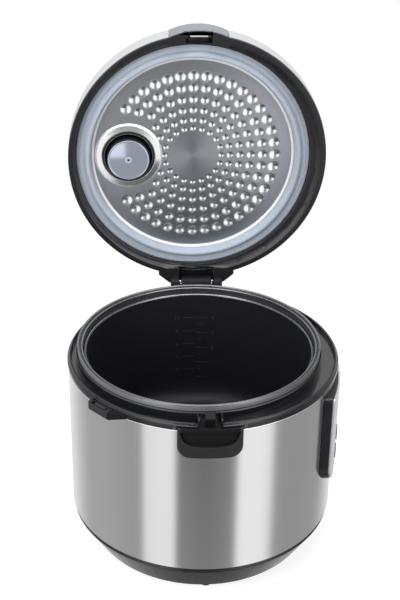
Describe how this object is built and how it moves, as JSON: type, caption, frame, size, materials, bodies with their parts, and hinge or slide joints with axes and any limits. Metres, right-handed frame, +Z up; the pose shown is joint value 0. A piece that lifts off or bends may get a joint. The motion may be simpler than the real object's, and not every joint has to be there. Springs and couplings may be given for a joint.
{
  "type": "multicooker",
  "caption": "Round countertop multicooker with a hinged lid, a lift-out non-stick pot, a brushed steel body, a push-open latch and a control panel on its side",
  "frame": {"origin": "on the round body's axis, at the level of the surface it stands on", "axes": "+Z up, the front with the catch looks along -Y, +X to the right where the control panel is"},
  "size_m": [0.2831, 0.3419, 0.5085],
  "materials": {
    "black_plastic": "smooth black plastic with a soft sheen",
    "dark_plastic": "fine-grained dark grey plastic",
    "rubber": "matte black rubber",
    "brushed_steel": "stainless sheet, brushed round the body",
    "plain_steel": "bright plated steel",
    "aluminium": "satin aluminium",
    "non_stick": "black non-stick coating on aluminium",
    "silver_plastic": "silver-coloured plastic",
    "silicone": "translucent grey silicone",
    "display_glass": "dark display window",
    "circuit_board": "green circuit board"
  },
  "bodies": {
    "body": {"rubber_feet": "rubber", "bottom_cover": "black_plastic", "bottom_screws": "plain_steel", "base_tub": "black_plastic", "steel_shell": "brushed_steel", "top_ring": "black_plastic", "front_scoop": "dark_plastic", "lid_catch": "black_plastic", "spoon_bracket": "black_plastic", "collar_ring": "brushed_steel", "inner_liner": "aluminium", "heater_plate": "aluminium", "heating_element": "plain_steel", "sensor_guide": "dark_plastic", "sensor_spring": "plain_steel", "thermal_fuse": "aluminium", "power_board": "circuit_board", "board_parts": "dark_plastic", "power_inlet": "black_plastic", "inlet_pins": "plain_steel", "control_housing": "black_plastic", "control_fascia": "silver_plastic", "display_window": "display_glass", "display_module": "dark_plastic", "control_board": "circuit_board", "tact_switches": "dark_plastic", "hinge_bracket": "black_plastic", "hinge_pin": "plain_steel", "hinge_spring": "plain_steel", "hinge_screws": "plain_steel"},
    "lid": {"lid_frame": "black_plastic", "lid_band": "silver_plastic", "lid_top": "black_plastic", "inner_plate": "aluminium", "lid_seal": "silicone", "valve_trim": "brushed_steel", "valve_well": "black_plastic", "lid_screws": "plain_steel", "latch_pin": "plain_steel", "latch_spring": "plain_steel"},
    "latch": {"latch_button": "silver_plastic", "latch_bar": "brushed_steel"},
    "steam_valve": {"valve_cup": "black_plastic", "valve_disc": "silicone", "steam_cap": "black_plastic", "cap_gasket": "silicone"},
    "pot": {"inner_pot": "non_stick"},
    "sensor": {"sensor_cap": "aluminium"},
    "start_button": {"start_button": "dark_plastic"},
    "cancel_button": {"cancel_button": "dark_plastic"},
    "menu_button": {"menu_button": "dark_plastic"},
    "timer_button": {"timer_button": "dark_plastic"},
    "plus_button": {"plus_button": "dark_plastic"},
    "minus_button": {"minus_button": "dark_plastic"}
  },
  "joints": [
    {"name": "lid_hinge", "type": "hinge", "parent": "body", "child": "lid", "pos_m": [0, 0.1495, 0.215], "axis": [1, 0, 0], "range_deg": [0, 90]},
    {"name": "latch_press", "type": "hinge", "parent": "lid", "child": "latch", "pos_m": [0, 0.1705, 0.499], "axis": [-1, 0, 0], "range_deg": [0, 8], "stiffness_Nm_per_rad": 1.5},
    {"name": "valve_lift", "type": "slide", "parent": "lid", "child": "steam_valve", "axis": [0, 1, 0], "range_m": [0, 0.045]},
    {"name": "pot_lift", "type": "slide", "parent": "body", "child": "pot", "axis": [0, 0, -1], "range_m": [-0.16, 0]},
    {"name": "sensor_rise", "type": "slide", "parent": "body", "child": "sensor", "axis": [0, 0, -1], "range_m": [-0.003, 0]},
    {"name": "start_press", "type": "slide", "parent": "body", "child": "start_button", "axis": [-0.9848, 0.1736, 0], "range_m": [0, 0.001], "stiffness_N_per_m": 1500},
    {"name": "cancel_press", "type": "slide", "parent": "body", "child": "cancel_button", "axis": [-1, 0, 0], "range_m": [0, 0.001], "stiffness_N_per_m": 1500},
    {"name": "menu_press", "type": "slide", "parent": "body", "child": "menu_button", "axis": [-0.9848, -0.1736, 0], "range_m": [0, 0.001], "stiffness_N_per_m": 1500},
    {"name": "timer_press", "type": "slide", "parent": "body", "child": "timer_button", "axis": [-0.9848, 0.1736, 0], "range_m": [0, 0.001], "stiffness_N_per_m": 1500},
    {"name": "plus_press", "type": "slide", "parent": "body", "child": "plus_button", "axis": [-1, 0, 0], "range_m": [0, 0.001], "stiffness_N_per_m": 1500},
    {"name": "minus_press", "type": "slide", "parent": "body", "child": "minus_button", "axis": [-0.9848, -0.1736, 0], "range_m": [0, 0.001], "stiffness_N_per_m": 1500}
  ],
  "couplings": [
    {"joint": "sensor_rise", "follows": "pot_lift", "ratio": 0.01875}
  ]
}
